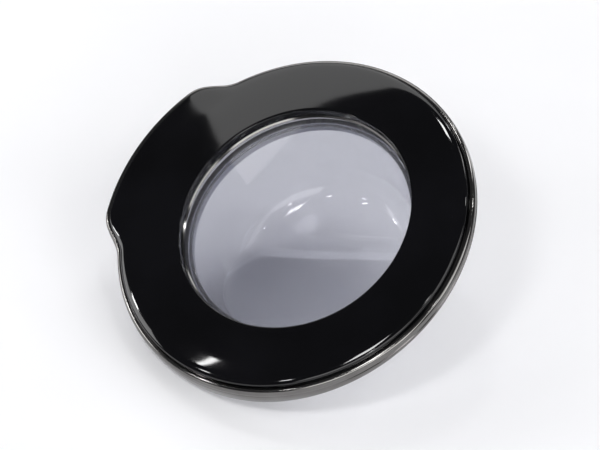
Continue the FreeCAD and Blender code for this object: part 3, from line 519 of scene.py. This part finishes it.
def bowl_glass():
    """Pressed glass, a little milky, with faint flow marks."""
    material, shader = new_material("bowl_glass", Base_Color=(0.8, 0.81, 0.88, 1),
                                    Transmission_Weight=0.92, IOR=1.45, Roughness=0.01)
    relief(shader, strength=0.06, distance=0.0012, scale=16, detail=2)
    return material


def moulded(name, dark, light, low, high, grain=900):
    """Matte moulded plastic or rubber with a fine spark-eroded grain."""
    material, shader = new_material(name, IOR=1.48)
    tint(shader, dark, light, scale=35, detail=4)
    roughen(shader, low, high, scale=120, detail=4)
    relief(shader, strength=0.25, distance=0.0004, scale=grain, detail=2)
    return material


def zinc_steel():
    """Zinc-plated pressed steel with a faint spangle and rolling marks."""
    material, shader = new_material("zinc_steel", Metallic=1.0)
    tint(shader, (0.53, 0.54, 0.56), (0.61, 0.62, 0.64), scale=150, detail=4)
    roughen(shader, 0.24, 0.42, scale=260, detail=5)
    relief(shader, strength=0.08, distance=0.0003, scale=500, detail=3)
    return material


MATERIALS = {
    "gloss_black": gloss_black(),
    "chrome_plate": chrome(),
    "clear_pane": clear_pane(),
    "bowl_glass": bowl_glass(),
    # Carrier plastic: grey, with its tone raised as painted light for the shaded strip of it seen
    # inside the window's collar
    "carrier_plastic": moulded("carrier_plastic", (0.60, 0.60, 0.65), (0.67, 0.67, 0.72),
                               0.45, 0.6),
    "rear_plastic": moulded("rear_plastic", (0.60, 0.60, 0.63), (0.68, 0.68, 0.71), 0.42, 0.58),
    "grip_plastic": moulded("grip_plastic", (0.012, 0.012, 0.013), (0.022, 0.022, 0.024),
                            0.4, 0.55),
    "rubber": moulded("rubber", (0.022, 0.022, 0.023), (0.036, 0.036, 0.038), 0.7, 0.9,
                      grain=500),
    "zinc_steel": zinc_steel(),
    "bush_plastic": moulded("bush_plastic", (0.68, 0.68, 0.65), (0.76, 0.76, 0.73), 0.3, 0.45),
    "hook_plastic": moulded("hook_plastic", (0.60, 0.60, 0.58), (0.69, 0.69, 0.66), 0.3, 0.45),
}


def dress_nodes():
    """Give each CAD node the finish of its slot in the record."""
    for subpart in frame["record"]["subparts"]:
        node = frame["nodes"][subpart["node"]]
        material = MATERIALS[subpart["material_slot"]]
        node.data.materials.clear()
        node.data.materials.append(material)


def stand_for(piece, node, slot):
    """A smooth piece takes the place of a CAD node on the door."""
    piece.data.materials.append(MATERIALS[slot])
    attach(piece, "door")
    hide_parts(node)


# Stage

def picture_axes():
    """Right, up and towards the camera, as directions of the part's frame."""
    normal = PICTURE_NORMAL
    across = Vector((0, 1, 0)).cross(normal).normalized()
    over = normal.cross(across)
    return [Vector((-across[axis], -normal[axis], -over[axis])) for axis in range(3)]


RIGHT, UP, TOWARDS = picture_axes()
LIP_CENTRE = Vector((RING_X - WINDOW_OFFSET, -LIP_FRONT, 0)) * MM
FLOOR_UP = (UP * math.cos(math.radians(FLOOR_ELEVATION))
            + TOWARDS * math.sin(math.radians(FLOOR_ELEVATION)))
FLOOR_AWAY = FLOOR_UP.cross(RIGHT)


def on_floor(place):
    """Right, up and away over the floor, as a direction of the part's frame."""
    return RIGHT * place[0] + FLOOR_UP * place[1] + FLOOR_AWAY * place[2]


def make_camera():
    """Camera at the photograph's place."""
    camera = bpy.data.objects.new("camera", bpy.data.cameras.new("camera"))
    camera.data.sensor_width = SENSOR_MM
    camera.data.sensor_fit = "HORIZONTAL"
    camera.data.lens = LENS_MM
    camera.data.clip_end = CAMERA_REACH
    offset = LIP_IN_PICTURE * MM
    eye = LIP_CENTRE - RIGHT * offset[0] - UP * offset[1] - TOWARDS * offset[2]
    turn = Matrix((RIGHT, UP, TOWARDS)).transposed().to_4x4()
    camera.matrix_world = Matrix.Translation(eye) @ turn
    bpy.context.collection.objects.link(camera)
    bpy.context.scene.camera = camera


def floor_material():
    """Pale floor, seen from above only; a little brighter where a ray looks at it directly."""
    material, shader = new_material("floor_pale", Roughness=0.9, IOR=1.2)
    tint(shader, (0.90, 0.90, 0.92), (0.92, 0.92, 0.94), scale=3)
    shader.inputs["Emission Color"].default_value = (1, 1, 1, 1)
    tree = material.node_tree
    nodes, links = tree.nodes, tree.links
    path = nodes.new("ShaderNodeLightPath")
    looked_at = path.outputs["Is Camera Ray"]
    for ray in ("Is Glossy Ray", "Is Transmission Ray"):
        either = nodes.new("ShaderNodeMath")
        either.operation = "MAXIMUM"
        links.new(looked_at, either.inputs[0])
        links.new(path.outputs[ray], either.inputs[1])
        looked_at = either.outputs["Value"]
    vary(tree, looked_at, 0.0, FLOOR_GLOW, shader.inputs["Emission Strength"])
    side = nodes.new("ShaderNodeNewGeometry")
    clear = nodes.new("ShaderNodeBsdfTransparent")
    choose = nodes.new("ShaderNodeMixShader")
    links.new(side.outputs["Backfacing"], choose.inputs["Fac"])
    links.new(shader.outputs["BSDF"], choose.inputs[1])
    links.new(clear.outputs["BSDF"], choose.inputs[2])
    links.new(choose.outputs["Shader"], nodes["Material Output"].inputs["Surface"])
    return material


def make_floor():
    """Floor that the door lies on in the photograph, just under its lowest point."""
    lowest = 0
    for piece in bpy.data.objects:
        if piece.type == "MESH" and not piece.hide_render:
            for corner in piece.data.vertices:
                lowest = min(lowest, (corner.co - LIP_CENTRE).dot(FLOOR_UP))
    middle = LIP_CENTRE + FLOOR_UP * (lowest - FLOOR_GAP)
    corners = [middle + RIGHT * (x * FLOOR_HALF) + FLOOR_AWAY * (y * FLOOR_HALF)
               for x, y in ((-1, -1), (1, -1), (1, 1), (-1, 1))]
    mesh = bpy.data.meshes.new("floor")
    mesh.from_pydata([tuple(corner) for corner in corners], [], [(0, 1, 2, 3)])
    mesh.update()
    if mesh.polygons[0].normal.dot(FLOOR_UP) < 0:
        mesh.flip_normals()
    floor = bpy.data.objects.new("floor", mesh)
    floor.data.materials.append(floor_material())
    bpy.context.collection.objects.link(floor)


def make_world():
    """Dim studio round the object, so that the gloss black stays black."""
    world = bpy.data.worlds.new("studio")
    bpy.context.scene.world = world
    world.use_nodes = True
    room = world.node_tree.nodes["Background"]
    room.inputs["Color"].default_value = ROOM_COLOUR
    room.inputs["Strength"].default_value = ROOM_STRENGTH


def make_light(name, place, size, power, back=None, along=(1, 0, 0)):
    """Lamp that shines at the window's centre, unless its back is turned another way."""
    lamp = bpy.data.lights.new(name, "AREA")
    lamp.shape = "RECTANGLE"
    lamp.size, lamp.size_y = size
    lamp.energy = power
    behind = on_floor(place if back is None else back).normalized()
    side = on_floor(along)
    side = (side - behind * side.dot(behind)).normalized()
    turn = Matrix((side, behind.cross(side), behind)).transposed().to_4x4()
    light = bpy.data.objects.new(name, lamp)
    light.matrix_world = Matrix.Translation(LIP_CENTRE + on_floor(place)) @ turn
    bpy.context.collection.objects.link(light)


def make_lights():
    """The lamps of the list, then the spots."""
    for name, values in LAMPS.items():
        make_light(name, **values)
    for number, place in enumerate(SPOT_PLACES):
        make_light("spot_%d" % number, place, SPOT_SIZE, SPOT_POWER)


dress_nodes()
stand_for(ring_piece("front_cover_gloss", cover_section, COVER_SHARP),
          "front_cover", "gloss_black")
stand_for(ring_piece("chrome_ring_bright", chrome_section, CHROME_SHARP),
          "chrome_ring", "chrome_plate")
stand_for(make_bowl(), "glass_bowl", "bowl_glass")

make_camera()
make_floor()
make_world()
make_lights()
bpy.context.scene.view_settings.view_transform = "Standard"
